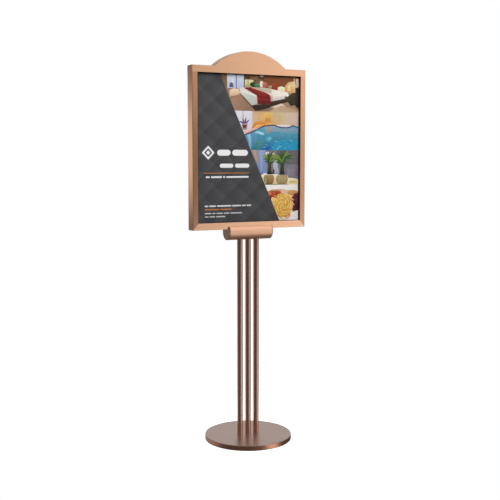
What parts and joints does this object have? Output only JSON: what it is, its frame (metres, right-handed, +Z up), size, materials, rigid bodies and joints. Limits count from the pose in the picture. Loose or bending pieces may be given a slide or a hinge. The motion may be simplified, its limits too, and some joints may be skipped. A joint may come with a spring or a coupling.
{
  "type": "sign stand",
  "caption": "Free-standing sign stand: round weighted base, slim posts, slotted clamp tube and a framed portrait poster with an arched header and a rear door.",
  "frame": {"origin": "centre of the base at floor level", "axes": "+Z up, the sign faces -Y, +X is to the right when looking along +Y at the sign's front"},
  "size_m": [0.496, 0.35, 1.5475],
  "materials": {
    "bronze_steel": "brushed stainless steel, bronze coated",
    "dark_bronze": "satin, bronze coated",
    "cast_iron": "rough casting",
    "zinc_steel": "zinc plated",
    "aluminium": "mill finish",
    "rubber": "matt",
    "foam_rubber": "closed-cell foam",
    "clear_acrylic": "clear, polished",
    "printed_paper": "printed, satin",
    "foam_board": "matt white",
    "black_plastic": "moulded"
  },
  "bodies": {
    "stand": {"base_cover": "bronze_steel", "base_weight": "cast_iron", "base_pads": "rubber", "base_bolts": "zinc_steel", "base_washers": "zinc_steel", "tube_left": "bronze_steel", "foot_plug_left": "zinc_steel", "head_plug_left": "zinc_steel", "tube_centre": "bronze_steel", "foot_plug_centre": "zinc_steel", "head_plug_centre": "zinc_steel", "tube_right": "bronze_steel", "foot_plug_right": "zinc_steel", "head_plug_right": "zinc_steel", "clamp_tube": "bronze_steel", "clamp_end_left": "bronze_steel", "clamp_end_right": "bronze_steel", "clamp_saddle": "aluminium", "clamp_washers": "zinc_steel", "clamp_bolts": "zinc_steel", "sign_bolts": "zinc_steel", "stile_left": "bronze_steel", "stile_right": "bronze_steel", "bottom_rail": "bronze_steel", "header_front": "bronze_steel", "header_rim": "bronze_steel", "header_return": "bronze_steel", "header_back": "bronze_steel", "corner_bracket_lower_left": "zinc_steel", "corner_bracket_lower_right": "zinc_steel", "corner_bracket_upper_left": "zinc_steel", "corner_bracket_upper_right": "zinc_steel", "bracket_rivets": "zinc_steel", "glazing_bead_left": "rubber", "glazing_bead_right": "rubber", "glazing_bead_bottom": "rubber", "glazing_bead_top": "rubber", "clear_cover": "clear_acrylic", "poster_sheet": "printed_paper", "backing_board": "foam_board", "board_clips": "zinc_steel", "hinge_frame_leaf_lower": "dark_bronze", "hinge_frame_leaf_upper": "dark_bronze", "hinge_pin_lower": "dark_bronze", "hinge_pin_upper": "dark_bronze", "hinge_screws_frame": "dark_bronze", "door_magnets": "black_plastic"},
    "door": {"rear_door": "bronze_steel", "door_knob": "dark_bronze", "hinge_door_leaf_lower": "dark_bronze", "hinge_door_leaf_upper": "dark_bronze", "hinge_screws_door": "dark_bronze", "catch_plates": "zinc_steel", "door_pads": "foam_rubber"}
  },
  "joints": [
    {"name": "rear_door_hinge", "type": "hinge", "parent": "stand", "child": "door", "pos_m": [-0.23325, 0.0255, 1.172], "axis": [0, 0, 1], "range_deg": [0, 170]}
  ]
}
